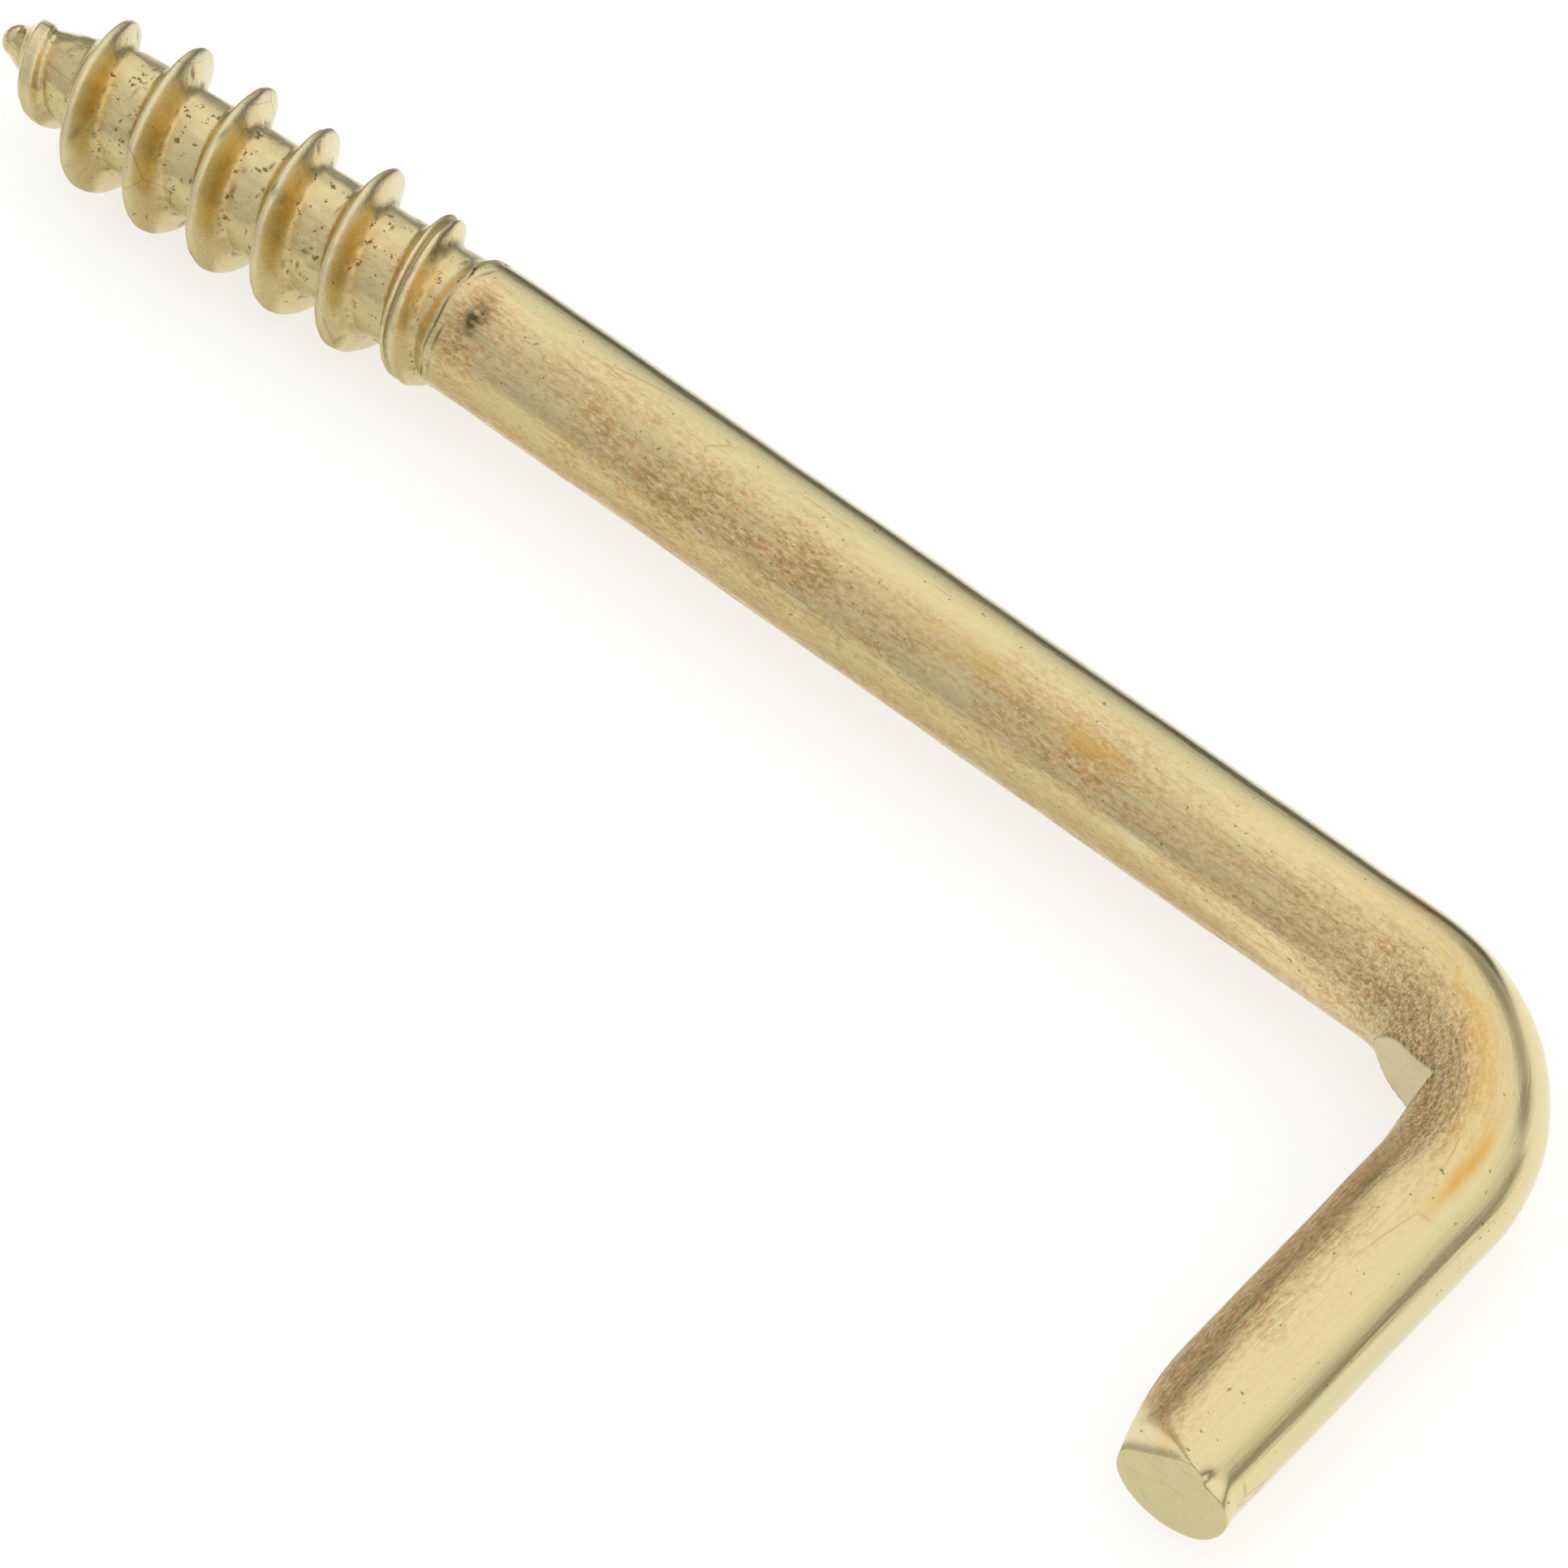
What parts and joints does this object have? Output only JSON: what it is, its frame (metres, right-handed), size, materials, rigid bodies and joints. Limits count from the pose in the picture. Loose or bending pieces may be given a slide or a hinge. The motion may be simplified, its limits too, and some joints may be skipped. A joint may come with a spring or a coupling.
{
  "type": "square-bend screw hook",
  "caption": "Wire screw hook bent once to an L: rolled wood-screw thread with a gimlet point, plain round shank and a short square-bent arm with a sheared end.",
  "frame": {"origin": "on the screw axis at the shoulder, where the thread ends and the plain shank begins: the wood's face once the hook is driven home", "axes": "-X along the screw axis into the wood, towards the point; the arm runs towards -Y; +Z square to the flat L, up when the hook lies on a table"},
  "size_m": [0.0493, 0.0182, 0.0046],
  "materials": {
    "brass_plated_wire": "bright, with a mottled straw and light brown passivation"
  },
  "bodies": {
    "root": {"square_bend_screw_hook": "brass_plated_wire"}
  },
  "joints": []
}
